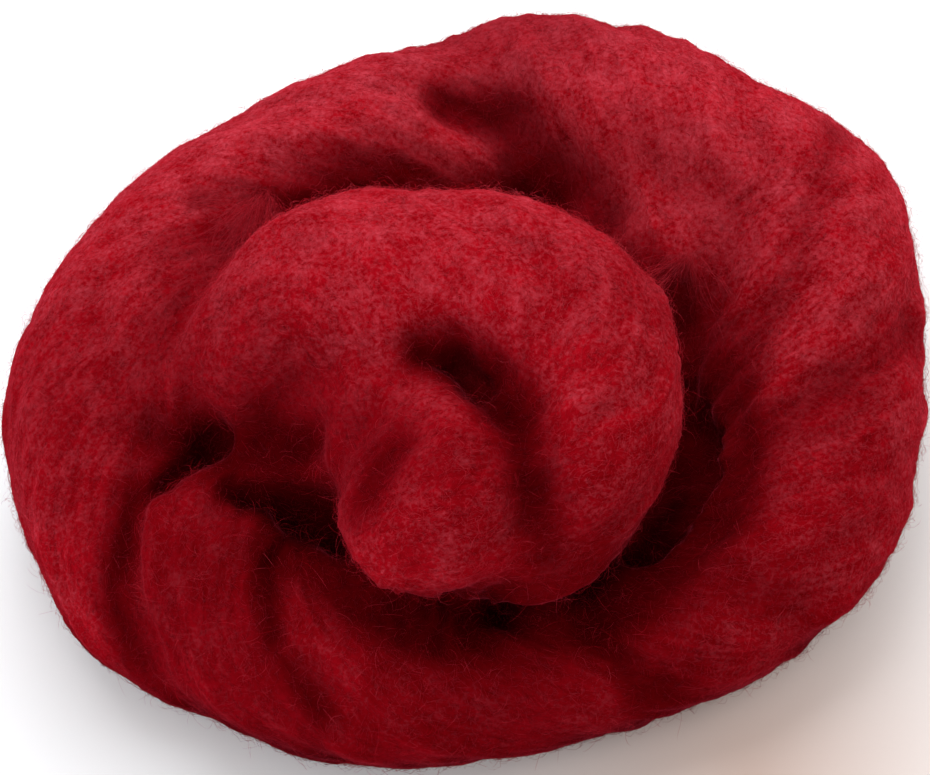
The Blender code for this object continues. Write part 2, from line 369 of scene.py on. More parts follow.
# Wisps: fibres drawn from the skin round a root towards a tip, with the light painted into their
# colour.
Wisp = namedtuple("Wisp", "root tip spread count light")
WISPS = (
    Wisp((-38, 13, 40), (-34.5, 17, 50), 4.0, 480, 0.75),
    Wisp((35, 6, 38), (38.5, 12, 39), 2.5, 220, 0.85),
    Wisp((-45, 26, 38), (-50, 20, 42), 3.0, 160, 0.85),
)
WISP_SEED = 26
WISP_POINTS = 5
WISP_THICKNESS = (0.04, 0.06)
# The part of the way to its end that a fibre goes, and the power that makes long ones more.
WISP_PART, WISP_EVENNESS = (0.45, 1.0), 0.8
# How closely the ends gather, as a share of the spread at the root, and the bow over the length.
WISP_GATHERED, WISP_BOW = 0.25, 0.12


def unit(vectors):
    return vectors / np.maximum(np.linalg.norm(vectors, axis=-1, keepdims=True), 1e-9)


def smooth_route(rows):
    """Hermite curve through the rows, with the chord from row to row as its parameter."""
    table = np.array(rows, float)
    chords = np.linalg.norm(np.diff(table[:, :3], axis=0), axis=1)
    knots = np.concatenate(([0.0], np.cumsum(chords)))
    slopes = np.gradient(table, knots, axis=0)
    stations = np.linspace(0.0, knots[-1], int(knots[-1] / STATION_STEP) + 1)
    span = np.clip(np.searchsorted(knots, stations, side="right") - 1, 0, len(knots) - 2)
    gap = (knots[span + 1] - knots[span])[:, None]
    t = (stations - knots[span])[:, None] / gap
    return stations, (
        (1 + 2 * t) * (1 - t) ** 2 * table[span]
        + t**2 * (3 - 2 * t) * table[span + 1]
        + t * (1 - t) ** 2 * gap * slopes[span]
        - t**2 * (1 - t) * gap * slopes[span + 1]
    )


def rounded_ends(stations, reach):
    """1 along the strand, falling to 0 over the reach at each end as a quarter circle does."""
    to_end = np.minimum(stations, stations[-1] - stations)
    return np.sqrt(np.clip(1 - (1 - np.minimum(to_end / reach, 1)) ** 2, 0, 1))


Strand = namedtuple("Strand", "stations middle heading across upward half_width half_height")


def strand_of(rows):
    stations, table = smooth_route(rows)
    heading = unit(np.gradient(table[:, :3], stations, axis=0))
    across = unit(np.cross(heading, (0.0, 0.0, 1.0)))
    upward = np.cross(across, heading)
    return Strand(stations, table[:, :3], heading, across, upward, table[:, 3] / 2, table[:, 4] / 2)


def strand_surface(strand):
    """An oval carried along the route. Its radius bulges in bundles, which turn slowly with it."""
    angle = np.linspace(0, 2 * np.pi, POINTS_AROUND, endpoint=False)
    station = strand.stations[:, None]
    twist = angle[None, :] + station * 2 * np.pi / TWIST_PITCH
    uneven = twist + BUNDLE_UNEVENNESS * np.sin(2 * twist + station / UNEVENNESS_REACH)
    bundles = np.abs(np.cos(BUNDLES / 2 * uneven)) - 2 / np.pi
    swell = (1 + BUNDLE_RELIEF * bundles) * rounded_ends(strand.stations, END_REACH)[:, None]
    wide = np.cos(angle) * strand.half_width[:, None] * swell
    high = np.sin(angle) * strand.half_height[:, None] * swell
    rings = (
        strand.middle[:, None]
        + wide[..., None] * strand.across[:, None]
        + high[..., None] * strand.upward[:, None]
    )
    grid = np.arange(rings.shape[0] * POINTS_AROUND).reshape(rings.shape[0], POINTS_AROUND)
    beside = np.roll(grid, -1, axis=1)
    quads = np.stack((grid[:-1], grid[1:], beside[1:], beside[:-1]), axis=-1).reshape(-1, 4)
    return rings.reshape(-1, 3), quads


def mesh_from(name, places, corners):
    """A mesh from metres and a table of corners, whose faces all have as many corners."""
    mesh = bpy.data.meshes.new(name)
    mesh.vertices.add(len(places))
    mesh.vertices.foreach_set("co", places.astype(np.float32).ravel())
    if corners is not None:
        mesh.loops.add(corners.size)
        mesh.loops.foreach_set("vertex_index", corners.astype(np.int32).ravel())
        mesh.polygons.add(len(corners))
        starts = np.arange(0, corners.size, corners.shape[1], dtype=np.int32)
        mesh.polygons.foreach_set("loop_start", starts)
    mesh.update(calc_edges=True)
    return mesh


def thing_from(name, data):
    thing = bpy.data.objects.new(name, data)
    bpy.context.scene.collection.objects.link(thing)
    return thing


def worked_out(thing):
    """The thing's mesh with its modifiers worked out, in place of the one it had."""
    depsgraph = bpy.context.evaluated_depsgraph_get()
    mesh = bpy.data.meshes.new_from_object(thing.evaluated_get(depsgraph))
    thing.modifiers.clear()
    thing.data = mesh
    return mesh


def read(mesh, kind="vertices", field="co"):
    items = getattr(mesh, kind)
    values = np.empty(len(items) * 3, np.float32)
    items.foreach_get(field, values)
    return values.reshape(-1, 3).astype(float)


def place(mesh, places):
    mesh.vertices.foreach_set("co", places.astype(np.float32).ravel())
    mesh.update()


def merge(thing, grid, softening):
    """Lengths that overlap become one closed skin of even faces, a little softened."""
    skin = thing.modifiers.new("merge", "REMESH")
    skin.mode = "VOXEL"
    skin.voxel_size = grid
    soften = thing.modifiers.new("soften", "SMOOTH")
    soften.iterations = softening
    return worked_out(thing)


def softened(thing, rounds):
    """Where the skin would lie if its creases were smoothed away."""
    soften = thing.modifiers.new("soften", "SMOOTH")
    soften.iterations = rounds
    depsgraph = bpy.context.evaluated_depsgraph_get()
    places = read(thing.evaluated_get(depsgraph).data)
    thing.modifiers.clear()
    return places


def to_crease(plan, crease):
    """How far each place lies, in plan, from the straight middle of the crease."""
    start = np.array((crease.x1, crease.y1)) * MM
    run = np.array((crease.x2, crease.y2)) * MM - start
    share = np.clip((plan - start) @ run / (run @ run), 0, 1)
    return np.linalg.norm(plan - start - share[:, None] * run, axis=1)


def creased(places, creases, strengths, spread=1.0):
    """How strongly the creases act on each place.

    A crease is its strength times a bell curve of the distance over its width times the spread,
    and of the height above its own. The strongest crease counts.
    """
    found = np.zeros(len(places))
    for crease, strength in zip(creases, strengths):
        aside = to_crease(places[:, :2], crease) / (crease.width * spread * MM)
        above = (places[:, 2] - crease.height * MM) / CREASE_HEIGHT
        found = np.maximum(found, strength * np.exp(-(aside**2) - above**2))
    return found


def press_creases(mesh):
    """The creases sink the skin along its normal, where it faces up."""
    places = read(mesh)
    normals = read(mesh, "vertex_normals", "vector")
    facing_up = np.clip(CREASED_SLOPE * normals[:, 2], 0, 1)
    creases = FOLDS + VALLEY
    sunk = creased(places, creases, [crease.depth * MM for crease in creases]) * facing_up
    place(mesh, places - normals * sunk[:, None])


def fold_shade(places):
    """How much of the light the folds shut out: the steeper a fold, the more."""
    steepness = [min(fold.depth / fold.width / FULL_STEEPNESS, 1) for fold in FOLDS]
    return FOLD_SHADE * creased(places, FOLDS, steepness, FOLD_SHADE_SPREAD)


def waves(places, along, across, seed):
    """A seeded sum of cosine waves, drawn out along the first coordinate.

    It varies about 0, with a spread of about 1.
    """
    rng = np.random.default_rng(seed)
    bearing = rng.uniform(0, 2 * np.pi, WAVES)
    pace = 2 * np.pi / across * rng.uniform(*WAVE_PACE, WAVES)
    steps = np.stack(
        (
            2 * np.pi / along * rng.normal(0, WAVE_ALONG, WAVES),
            pace * np.cos(bearing),
            pace * np.sin(bearing),
        )
    )
    phase = rng.uniform(0, 2 * np.pi, WAVES)
    return np.cos(places @ steps + phase).sum(axis=1) * np.sqrt(2 / WAVES)


def comb(places, strands):
    """For places in millimetres: where each lies on every strand, and that strand's share of it.

    The nearest station is the one with the least sum of squares of section coordinates over
    half sizes and of the way along over half the width. A place lies at the way along, at the
    arc round the section from its top, and at its distance from the middle. The first two are
    turned by the slant, so that the first runs with the fibres and the second across them.
    Shares fall off exponentially with the root of that sum, from the strand where it is least.
    """
    row = np.arange(len(places))
    found = []
    for strand in strands:
        ahead, side, above = (
            places @ axis.T - (strand.middle * axis).sum(axis=1)
            for axis in (strand.heading, strand.across, strand.upward)
        )
        score = (
            (side / strand.half_width) ** 2
            + (above / strand.half_height) ** 2
            + (ahead / strand.half_width) ** 2
        )
        near = score.argmin(axis=1)
        way = strand.stations[near] + ahead[row, near]
        side, above = side[row, near], above[row, near]
        girth = (strand.half_width + strand.half_height).mean() / 2
        arc = girth * np.arctan2(side, above)
        local = np.stack(
            (
                way * np.cos(SLANT) + arc * np.sin(SLANT),
                arc * np.cos(SLANT) - way * np.sin(SLANT),
                np.hypot(side, above),
            ),
            axis=1,
        )
        found.append((local, np.sqrt(score[row, near]), strand.heading[near]))
    reach = np.stack([f[1] for f in found])
    share = np.exp(-(reach - reach.min(axis=0)) / COMB_BLEND)
    share /= share.sum(axis=0)
    return [f[0] for f in found], share, [f[2] for f in found]


def top_heights(places):
    """Height of the skin seen from above: the highest point in each cell of a grid.

    An empty cell takes the highest of those round it.
    """
    cell = np.round(places[:, :2] / TOP_CELL).astype(int)
    size = int(np.ceil(TOP_REACH / TOP_CELL))
    top = np.zeros((2 * size + 1, 2 * size + 1))
    np.maximum.at(top, (cell[:, 0] + size, cell[:, 1] + size), places[:, 2])
    gaps = top == 0
    for step in (-1, 1):
        for axis in (0, 1):
            top = np.where(gaps, np.maximum(top, np.roll(top, step, axis)), top)
    return top, size


def sky_seen(places, normals):
    """How much of the sky each place sees, from 0 to 1.

    In every compass direction the horizon is the steepest rise to the skin round about. The sky
    left there is the squared cosine of its angle, 1 / (1 + rise squared). Directions count by
    how far the skin faces them: the upward part of its normal plus the part that way.
    """
    top, size = top_heights(places)
    seen, counted = np.zeros(len(places)), np.zeros(len(places))
    for bearing in np.linspace(0, 2 * np.pi, COMPASS, endpoint=False):
        way = np.array((np.cos(bearing), np.sin(bearing)))
        facing = SKY_EVEN + np.maximum(normals[:, 2], 0) + normals[:, :2] @ way
        facing = np.maximum(facing, SKY_FACING_LEAST)
        rise = np.zeros(len(places))
        for reach in HORIZON_STEPS:
            cell = np.round((places[:, :2] + reach * MM * way) / TOP_CELL).astype(int) + size
            x, y = np.clip(cell, 0, 2 * size).T
            rise = np.maximum(rise, (top[x, y] - places[:, 2]) / (reach * MM))
        seen += facing / (1 + rise**2)
        counted += facing
    return seen / counted


def spread_out(mesh, values, rounds):
    """Every point's value becomes the mean of its own and of its neighbours', over again."""
    ends = np.empty(len(mesh.edges) * 2, np.int32)
    mesh.edges.foreach_get("vertices", ends)
    ends = ends.reshape(-1, 2)
    both = np.concatenate((ends, ends[:, ::-1]))
    near = np.bincount(both[:, 0], minlength=len(values)) + 1
    for _ in range(rounds):
        values = (values + np.bincount(both[:, 0], values[both[:, 1]], len(values))) / near
    return values


def dyed_and_shaded(places):
    """How bright the dye and the painted shade and light leave each place: a bell curve round the
    middle of every patch.
    """
    bright = np.ones(len(places))
    for dye_and_shade in DYE_AND_SHADE_PATCHES:
        away = ((places / MM - (dye_and_shade.x, dye_and_shade.y, dye_and_shade.z)) ** 2).sum(axis=1) / dye_and_shade.reach**2
        bright *= 1 - dye_and_shade.deeper * np.exp(-away)
    return bright


def make_skin():
    """The wool's skin, with the way its fibres run and the light and shade painted at each of its
    points.
    """
    strands = [strand_of(rows) for rows in LENGTHS]
    places, quads, count = [], [], 0
    for strand in strands:
        points, corners = strand_surface(strand)
        places.append(points * MM)
        quads.append(corners + count)
        count += len(points)
    rough = mesh_from("wool_skin", np.concatenate(places), np.concatenate(quads))
    skin = thing_from("wool_skin", rough)
    merge(skin, MERGE_GRID, MERGE_SMOOTHING)
    press_creases(skin.data)
    mesh = merge(skin, SKIN_GRID, CREASE_SMOOTHING)

    places = read(mesh)
    normals = read(mesh, "vertex_normals", "vector")
    charts, share, headings = comb(places / MM, strands)
    relief = np.zeros(len(places))
    for locks in LOCKS:
        field = sum(
            s * waves(local, locks.along, locks.across, locks.seed + 100 * n)
            for n, (s, local) in enumerate(zip(share, charts))
        )
        ridges = np.abs(field) - MEAN_RIDGE
        relief += locks.relief * (LOCK_WAVE * field + LOCK_RIDGE * ridges)
    places += normals * relief[:, None] * MM

    main = share.argmax(axis=0)
    row = np.arange(len(places))
    chief = np.stack(headings)[main, row]
    flow = sum(
        (s * np.where((h * chief).sum(axis=1) < 0, -1, 1))[:, None] * h
        for s, h in zip(share, headings)
    )
    flow = np.cos(SLANT) * flow + np.sin(SLANT) * np.cross(flow, normals)
    combed = np.stack(charts)[main, row] + PATTERN_SHIFT * main[:, None]
    sure = np.clip(2 * share.max(axis=0) - 1, 0, 1)

    places[:, 2] = np.maximum(places[:, 2], 0.0)
    low, high = places.min(axis=0), places.max(axis=0)
    size = np.array(cad_high - cad_low)
    places = (places - low) * size / (high - low) + np.array(cad_low)
    place(mesh, places)
    smooth = softened(skin, HOLLOW_SMOOTHING)
    normals = read(mesh, "vertex_normals", "vector")
    hollow = ((smooth - places) * normals).sum(axis=1) / MM
    # Painted shade: the sky each place sees, its depth below the smoothed skin and the folds round
    # it darken the colour painted there.
    seen = sum(
        part * sky_seen(places + step * MM * normals, normals) for step, part in SKY_STEPS
    )
    seen = np.clip((seen - SKY_DARKEST) / SKY_SPAN, 0, 1)
    seen *= np.clip(1 - HOLLOW_SHADE * hollow, *HOLLOW_LIMITS)
    light = LEAST_LIGHT + (1 - LEAST_LIGHT) * spread_out(mesh, seen, LIGHT_ROUNDS) ** LIGHT_FALL
    light *= spread_out(mesh, 1 - fold_shade(places), FOLD_ROUNDS)
    # Partly real dye, partly painted shade and painted light, from the table of patches.
    light = np.clip(light * dyed_and_shaded(places), *LIGHT_LIMITS)
    mesh.shade_smooth()
    give(mesh, "light", "FLOAT", light)
    give(mesh, "combed", "FLOAT_VECTOR", combed)
    give(mesh, "sure", "FLOAT", sure)
    return skin, flow, light


def give(mesh, name, kind, values):
    """A named value for every point of the mesh, for its material to read."""
    field = "vector" if kind == "FLOAT_VECTOR" else "value"
    made = mesh.attributes.new(name, kind, "POINT")
    made.data.foreach_set(field, np.asarray(values, np.float32).ravel())


def roots(skin, flow, light, count, rng):
    """Places spread over the skin by area, with the normal, the comb and the light there.

    They are fewer where the skin faces down, and there are none at the very foot.
    """
    mesh = skin.data
    mesh.calc_loop_triangles()
    triangles = np.empty(len(mesh.loop_triangles) * 3, np.int32)
    mesh.loop_triangles.foreach_get("vertices", triangles)
    triangles = triangles.reshape(-1, 3)
    places = read(mesh)
    normals = read(mesh, "vertex_normals", "vector")
    a, b, c = places[triangles].transpose(1, 0, 2)
    faces = np.cross(b - a, c - a)
    area = np.linalg.norm(faces, axis=1)
    down = np.clip(-faces[:, 2] / np.maximum(area, 1e-12), 0, 1)
    weight = area * (1 - UNDERSIDE_BARE * down) * (a[:, 2] > LOWEST_ROOT)
    picked = rng.choice(len(triangles), count, p=weight / weight.sum())
    u, v = rng.random((2, count, 1))
    flip = u + v > 1
    u, v = np.where(flip, 1 - u, u), np.where(flip, 1 - v, v)
    corner = triangles[picked].T

    def between(values):
        return (1 - u - v) * values[corner[0]] + u * values[corner[1]] + v * values[corner[2]]

    return between(places), unit(between(normals)), between(flow), between(light[:, None])[:, 0]


def snapped(places, skin, above):
    """The nearest places on the skin, or that far above it."""
    points = thing_from("points", mesh_from("points", places, None))
    wrap = points.modifiers.new("wrap", "SHRINKWRAP")
    wrap.target = skin
    wrap.wrap_mode = "ABOVE_SURFACE"
    wrap.offset = above
    depsgraph = bpy.context.evaluated_depsgraph_get()
    found = read(points.evaluated_get(depsgraph).data)
    bpy.data.objects.remove(points, do_unlink=True)
    return found


def tubes(name, spines, side, radius, tint, light):
    """Closed three-sided tubes along the spines, drawn to a point at both ends.

    The radius of a tube is a share of its own, plus a half sine along it.
    """
    count, points, _ = spines.shape
    ahead = unit(np.gradient(spines, axis=1))
    side = unit(np.cross(ahead, side[:, None]))
    up = np.cross(side, ahead)
    turn = np.radians(TUBE_EDGES)
    rim = np.cos(turn)[:, None] * side[:, :, None] + np.sin(turn)[:, None] * up[:, :, None]
    along = np.linspace(0, 1, points)
    girth = radius[:, None] * (TUBE_END + TUBE_SWELL * np.sin(np.pi * along))
    rings = spines[:, 1:-1, None] + rim[:, 1:-1] * girth[:, 1:-1, None, None]
    inner = points - 2
    each = 3 * inner + 2
    places = np.concatenate((rings.reshape(count, -1, 3), spines[:, [0, -1]]), axis=1)

    ring = np.arange(3 * inner).reshape(inner, 3)
    beside = np.roll(ring, -1, axis=1)
    lower = np.stack((ring[:-1], beside[:-1], beside[1:]), -1).reshape(-1, 3)
    upper = np.stack((ring[:-1], beside[1:], ring[1:]), -1).reshape(-1, 3)
    first = np.stack((np.full(3, each - 2), beside[0], ring[0]), -1)
    last = np.stack((np.full(3, each - 1), ring[-1], beside[-1]), -1)
    faces = np.concatenate((lower, upper, first, last))
    corners = (np.arange(count)[:, None, None] * each + faces).reshape(-1, 3)
    mesh = mesh_from(name, places.reshape(-1, 3), corners)
    mesh.shade_smooth()
    give(mesh, "tint", "FLOAT", np.repeat(tint, each))
    give(mesh, "light", "FLOAT", np.repeat(light, each))

    # Every fibre has a cell of its own in the map.
    cells = int(np.ceil(np.sqrt(count)))
    cell = np.stack((np.arange(count) % cells, np.arange(count) // cells), -1)
    one = np.empty((each, 2))
    one[: 3 * inner, 0] = np.tile((0.15, 0.5, 0.85), inner)
    one[: 3 * inner, 1] = np.repeat(along[1:-1], 3)
    one[-2:] = (0.5, 0.0), (0.5, 1.0)
    where = ((cell[:, None] + CELL_MARGIN + CELL_USED * one) / cells).reshape(-1, 2)
    chart = mesh.uv_layers.new(name="OFBake")
    chart.uv.foreach_set("vector", where[corners.ravel()].astype(np.float32).ravel())
    return thing_from(name, mesh)


def flat_axes(normal, heading):
    """The heading laid flat on the skin, and the direction square to it."""
    heading = unit(heading - normal * (heading * normal).sum(axis=1, keepdims=True))
    return heading, np.cross(normal, heading)


def lay_coat(coat, skin, flow, light):
    """Fibres that follow the skin.

    A fibre starts along the comb, turned by its stray, and bends evenly with a small wave.
    Its points are dropped to the skin, then lifted by a half sine of its height.
    """
    rng = np.random.default_rng(coat.seed)
    root, normal, heading, lit = roots(skin, flow, light, coat.count, rng)
    heading, square = flat_axes(normal, heading)
    swirl = sum(waves(root / MM, size, size, seed) * turn for size, seed, turn in SWIRLS)
    start = np.radians(swirl + rng.normal(0, coat.stray, coat.count))
    start += np.pi * rng.integers(0, 2, coat.count)
    bend = rng.normal(0, FIBRE_BEND, coat.count)
    length = rng.uniform(*coat.length, coat.count)
    steps = np.arange(coat.points - 1)
    stride = (length / (coat.points - 1))[:, None]
    angle = start[:, None] + bend[:, None] * stride * (steps - steps.mean())
    angle += rng.normal(0, FIBRE_WAVER, angle.shape)
    step = np.cos(angle)[..., None] * heading[:, None] + np.sin(angle)[..., None] * square[:, None]
    path = np.cumsum(step * stride[..., None], axis=1)
    path = np.concatenate((np.zeros((coat.count, 1, 3)), path), axis=1)
    path -= path.mean(axis=1, keepdims=True)
    spines = (root[:, None] + path * MM).reshape(-1, 3)
    base = snapped(spines, skin, 0.0)
    outward = unit(snapped(spines, skin, MM) - base).reshape(coat.count, coat.points, 3)
    height = rng.uniform(*coat.lift, coat.count)
    along = np.linspace(0, 1, coat.points)
    lift = height[:, None] * np.sin(np.pi * along) - FIBRE_SUNK
    lift += rng.normal(0, FIBRE_UNEVEN, lift.shape)
    spines = base.reshape(coat.count, coat.points, 3) + outward * lift[..., None] * MM
    spines[..., 2] = np.maximum(spines[..., 2], LOWEST_FIBRE)
    radius = rng.uniform(*coat.thickness, coat.count) / 2 * MM
    drift = waves(root / MM, TINT_PATCH, TINT_PATCH, TINT_SEED)
    tint = np.clip(rng.normal(*LAID_TINT, coat.count) + TINT_DRIFT * drift, 0, 1)
    # Painted light: each fibre keeps the painted light and shade at its root, lifted by what it
    # catches.
    return tubes(coat.name, spines, normal, radius, tint, lit + coat.catch * (1 - lit))


def grow_strays(coat, skin, flow, light):
    """Single fibres that leave the skin at a slant and curl.

    Each step turns down and aside by the same angle as the step before it did.
    """
    rng = np.random.default_rng(coat.seed)
    root, normal, heading, lit = roots(skin, flow, light, coat.count, rng)
    heading, square = flat_axes(normal, heading)
    bearing = rng.uniform(0, 2 * np.pi, coat.count)
    away = np.cos(bearing)[:, None] * heading + np.sin(bearing)[:, None] * square
    beside = np.cross(normal, away)
    length = rng.uniform(*coat.length, coat.count)
    steps = np.arange(coat.points - 1)
    one_each = (coat.count, 1)
    rise = rng.uniform(*STRAY_RISE, one_each) - rng.uniform(*STRAY_DROOP, one_each) * steps
    veer = rng.normal(0, STRAY_CURL, one_each) * steps + rng.normal(0, STRAY_ASIDE, one_each)
    step = (
        (np.cos(rise) * np.cos(veer))[..., None] * away[:, None]
        + (np.cos(rise) * np.sin(veer))[..., None] * beside[:, None]
        + np.sin(rise)[..., None] * normal[:, None]
    )
    stride = (length / (coat.points - 1))[:, None, None]
    path = np.cumsum(step * stride, axis=1)
    path = np.concatenate((np.zeros((coat.count, 1, 3)), path), axis=1)
    spines = root[:, None] + (path - STRAY_SUNK * normal[:, None]) * MM
    spines[..., 2] = np.maximum(spines[..., 2], LOWEST_FIBRE)
    radius = rng.uniform(*coat.thickness, coat.count) / 2 * MM
    tint = np.clip(rng.normal(*STRAY_TINT, coat.count), 0, 1)
    # Painted light: each fibre keeps the painted light and shade at its root, lifted by what it
    # catches.
    return tubes(coat.name, spines, normal, radius, tint, lit + coat.catch * (1 - lit))


def gather_wisps(skin):
    """Fibres from the skin round each root, drawn together at the tip, bowed by a half sine.

    A fibre goes some part of the way from its root to its end beside the tip.
    """
    rng = np.random.default_rng(WISP_SEED)
    each = [wisp.count for wisp in WISPS]
    count = sum(each)

    def repeated(field):
        return np.repeat(np.array([getattr(wisp, field) for wisp in WISPS], float), each, axis=0)

    def scatter():
        return rng.normal(0, 1, (count, 3))

    spread = repeated("spread")[:, None]
    root = snapped((repeated("root") + spread * scatter()) * MM, skin, 0.0) / MM
    part = rng.uniform(*WISP_PART, (count, 1)) ** WISP_EVENNESS
    reach = part * (repeated("tip") + WISP_GATHERED * spread * scatter() - root)
    along = np.linspace(0, 1, WISP_POINTS)[:, None]
    bow = WISP_BOW * np.linalg.norm(reach, axis=1)[:, None] * scatter()
    spines = root[:, None] + along * reach[:, None] + np.sin(np.pi * along) * bow[:, None]
    radius = rng.uniform(*WISP_THICKNESS, count) / 2 * MM
    tint = np.clip(rng.normal(*STRAY_TINT, count), 0, 1)
    return tubes("wisps", spines * MM, unit(scatter()), radius, tint, repeated("light"))


class Value:
    """A number on its way through a material. Arithmetic on it adds Math nodes."""

    def __init__(self, finish, socket):
        self.finish, self.socket = finish, socket

    def math(self, operation, first, second):
        return self.finish.node("ShaderNodeMath", {"operation": operation}, {0: first, 1: second})

    def __add__(self, other):
        return self.math("ADD", self, other)

    def __sub__(self, other):
        return self.math("SUBTRACT", self, other)

    def __mul__(self, other):
        return self.math("MULTIPLY", self, other)

    def __truediv__(self, other):
        return self.math("DIVIDE", self, other)

    def __rsub__(self, other):
        return self.math("SUBTRACT", other, self)

    __radd__, __rmul__ = __add__, __mul__

    def __abs__(self):
        return self.math("ABSOLUTE", self, 0.0)

    def clipped(self, low=0.0, high=1.0):
        return self.math("MINIMUM", self.math("MAXIMUM", self, low), high)


class Finish:
    """One material in the making, built round its Principled shader."""

    def __init__(self, name):
        self.material = bpy.data.materials.new(name)
        self.material.use_nodes = True
        self.tree = self.material.node_tree
        self.shader = self.tree.nodes["Principled BSDF"]

    def node(self, kind, settings=(), sockets=(), out=0):
        """A node of this kind: its settings first, then the number or link of each socket."""
        made = self.tree.nodes.new(kind)
        for name, setting in dict(settings).items():
            setattr(made, name, setting)
        for key, value in dict(sockets).items():
            self.join(value, made.inputs[key])
        return Value(self, made.outputs[out])

    def join(self, value, socket):
        if isinstance(value, Value):
            self.tree.links.new(value.socket, socket)
        else:
            socket.default_value = value

    def attribute(self, name, out="Fac"):
        return self.node("ShaderNodeAttribute", {"attribute_name": name}, out=out)

    def noise(self, places, scale, detail=2.0, roughness=0.5, curl=0.0):
        return self.node(
            "ShaderNodeTexNoise",
            {},
            {
                "Vector": places,
                "Scale": scale,
                "Detail": detail,
                "Roughness": roughness,
                "Distortion": curl,
            },
        )

    def hairs(self, places, scale, curl, width):
        """Thin bright lines where a curled noise passes through its middle."""
        return (1.0 - abs(self.noise(places, scale, 1.0, 0.5, curl) - 0.5) / width).clipped()

    def stretched(self, places, scale):
        return self.node("ShaderNodeVectorMath", {"operation": "MULTIPLY"}, {0: places, 1: scale})

    def blended(self, share, first, second):
        return self.node(
            "ShaderNodeMix", {"data_type": "RGBA"}, {0: share, 6: first, 7: second}, out=2
        )

    def scaled(self, colour, share):
        sockets = {0: colour, "Scale": share}
        return self.node("ShaderNodeVectorMath", {"operation": "SCALE"}, sockets)

    def shade(self, **sockets):
        for name, value in sockets.items():
            self.join(value, self.shader.inputs[name.replace("_", " ")])


DEEP_RED = (0.13, 0.0002, 0.001, 1.0)
CRIMSON = (0.42, 0.0035, 0.011, 1.0)
ROSE = (0.55, 0.062, 0.092, 1.0)
# Wool has hardly any gloss. What shines at a slant is its own red.
GLOSS = {"Roughness": 0.9, "Specular_IOR_Level": 0.0, "Sheen_Weight": 0.35, "Sheen_Roughness": 0.3}
SHEEN_RED = (1.0, 0.08, 0.14, 1.0)
MOST_HAZE = 0.8
FUZZ_RELIEF = 0.25 * MM
# The noises in the wool: scale, detail, roughness and curl. Streaks are drawn out along the comb.
STREAK_STRETCH = (0.16, 1.0, 0.5)
STREAK = (0.75, 4.0, 0.65, 0.3)
MOTTLE = (900.0, 4.0, 0.65, 0.6)
CLOUD = (110.0, 3.0, 0.6)
FUZZ = (1200.0, 2.0, 0.6, 0.4)
PATCH = (170.0, 2.0, 0.55)
FIBRE_CLOUD = (500.0, 2.0, 0.5)
# The curled lines between them: scale, curl and width.
CURL = (800.0, 0.8, 0.05)


def haze_in(light):
    """The share of the pale haze that shows, as painted light: all of it in full light, none in the
    shade.
    """
    return 1.6 * light - 0.5


def skin_finish():
    """Crimson over deep red, under a haze of rose fuzz, both dimmed by the light and shade painted
    at each point.

    Streaks run along the comb where its way is sure. They, a fine mottle and broad clouds make
    up the share of crimson. The haze thickens towards the back and, as painted light, thins out in
    the painted shade.
    """
    wool = Finish("felted crimson wool")
    combed = wool.attribute("combed", "Vector")
    light = wool.attribute("light")
    sure = wool.attribute("sure")
    around = wool.node("ShaderNodeTexCoord", out="Object")
    streaks = (wool.noise(wool.stretched(combed, STREAK_STRETCH), *STREAK) - 0.5) * sure
    mottle = wool.noise(around, *MOTTLE) - 0.5
    cloud = wool.noise(around, *CLOUD) - 0.5
    curled = wool.hairs(around, *CURL)
    share = (0.53 + 0.85 * streaks + 0.5 * mottle + 0.7 * cloud).clipped()
    fuzz = wool.noise(around, *FUZZ) - 0.5
    patch = wool.noise(around, *PATCH) - 0.5
    backward = wool.node("ShaderNodeSeparateXYZ", {}, {0: around}, out=1)
    haze = 0.13 + 2.5 * backward + 1.1 * fuzz + 0.7 * patch + 0.4 * streaks + 0.16 * curled
    # Painted light: the rose haze of fuzz shows only where the painted light is high.
    haze = (haze * haze_in(light).clipped()).clipped(0.0, MOST_HAZE)
    red = wool.blended(haze, wool.blended(share, DEEP_RED, CRIMSON), ROSE)
    height = streaks * 0.6 + mottle * 0.4 + 0.04 * curled
    relief = {"Strength": 1.0, "Distance": FUZZ_RELIEF, "Height": height}
    # Painted shade: the colour is dimmed by the light and shade stored at each point.
    wool.shade(
        Base_Color=wool.scaled(red, light),
        Normal=wool.node("ShaderNodeBump", {}, relief),
        Sheen_Tint=SHEEN_RED,
        **GLOSS,
    )
    return wool.material


def fibre_finish():
    """Crimson, paler with the fibre's own tint and in clouds, dimmed by the light and shade painted
    on it.
    """
    wool = Finish("single crimson fibres")
    tint = wool.attribute("tint")
    light = wool.attribute("light")
    around = wool.node("ShaderNodeTexCoord", out="Object")
    cloud = wool.noise(around, *FIBRE_CLOUD) - 0.5
    # Painted light: the rose haze of fuzz shows only where the painted light is high.
    haze = (0.7 * tint - 0.15 + 0.7 * cloud) * haze_in(light)
    # Painted shade: the colour is dimmed by the light and shade stored on each fibre.
    wool.shade(
        Base_Color=wool.scaled(wool.blended(haze.clipped(), CRIMSON, ROSE), light),
        Sheen_Tint=SHEEN_RED,
        **GLOSS,
    )
    return wool.material


def make_nest():
    skin, flow, light = make_skin()
    skin.data.materials.clear()
    skin.data.materials.append(skin_finish())
    fibres = fibre_finish()
    pieces = [skin]
    for coat in COATS:
        pieces.append(lay_coat(coat, skin, flow, light))
    pieces.append(grow_strays(STRAY, skin, flow, light))
    pieces.append(gather_wisps(skin))
    for piece in pieces[1:]:
        piece.data.materials.append(fibres)
    for piece in pieces:
        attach(piece, "root")
        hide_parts("roving")


FLOOR_REACH = 3.0
